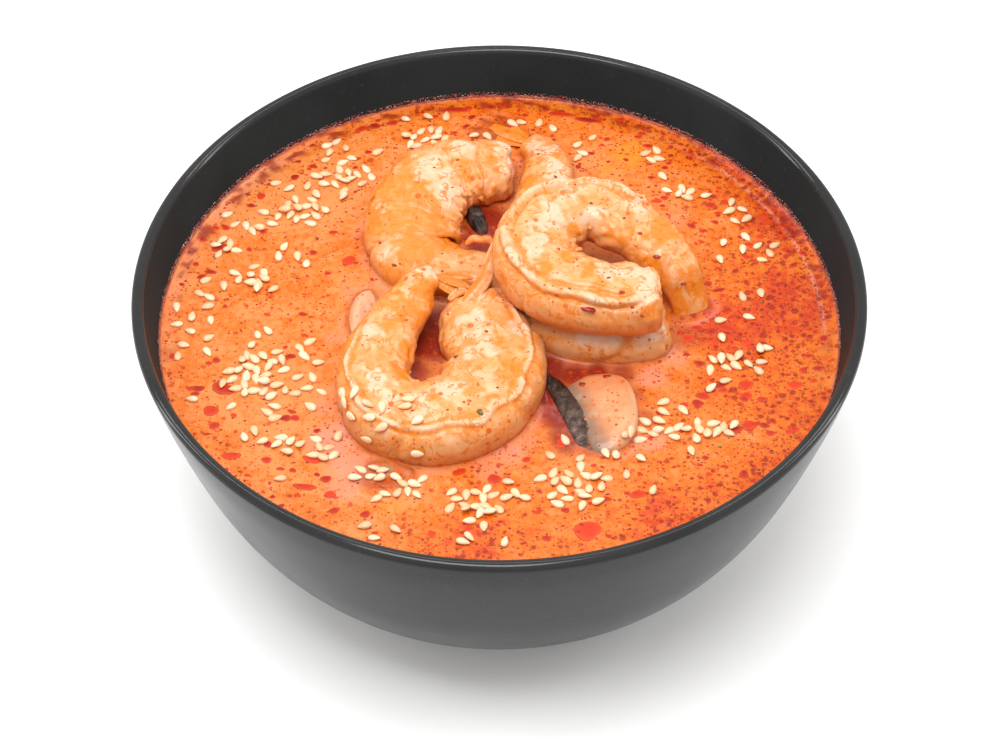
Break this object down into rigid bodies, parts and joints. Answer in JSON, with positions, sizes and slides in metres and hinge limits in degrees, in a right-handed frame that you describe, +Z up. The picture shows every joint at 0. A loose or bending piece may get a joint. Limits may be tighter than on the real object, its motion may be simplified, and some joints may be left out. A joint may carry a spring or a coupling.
{
  "type": "bowl of tom yum soup",
  "caption": "Deep round bowl on a foot ring, filled with creamy orange tom yum soup, with curled prawns and mushroom slices lying in it.",
  "frame": {"origin": "Centre of the foot ring, on the plane the bowl stands on.", "axes": "+Z up out of the bowl's mouth, +X to the right and +Y away from a person facing the side where the front prawn and the mushroom slice lie."},
  "size_m": [0.15, 0.15, 0.0727],
  "materials": {
    "glaze": "dark charcoal satin glaze",
    "broth": "creamy orange coconut broth with chili oil, wet and glossy",
    "prawn_meat": "cooked prawn, pale pink and cream with orange bands, wet",
    "mushroom_flesh": "cream mushroom flesh, moist",
    "mushroom_gills": "dark grey-brown gills, moist",
    "sesame": "hulled sesame seed, cream, slightly wet",
    "chili_oil": "deep red oil, very glossy",
    "herb": "dark green and brown flecks, wet"
  },
  "bodies": {
    "root": {"bowl": "glaze", "soup": "broth", "prawn_front": "prawn_meat", "prawn_under": "prawn_meat", "prawn_right": "prawn_meat", "prawn_back": "prawn_meat", "mushroom_slice": "mushroom_flesh", "mushroom_left": "mushroom_flesh", "mushroom_sunk": "mushroom_flesh", "mushroom_back": "mushroom_gills"}
  },
  "joints": []
}
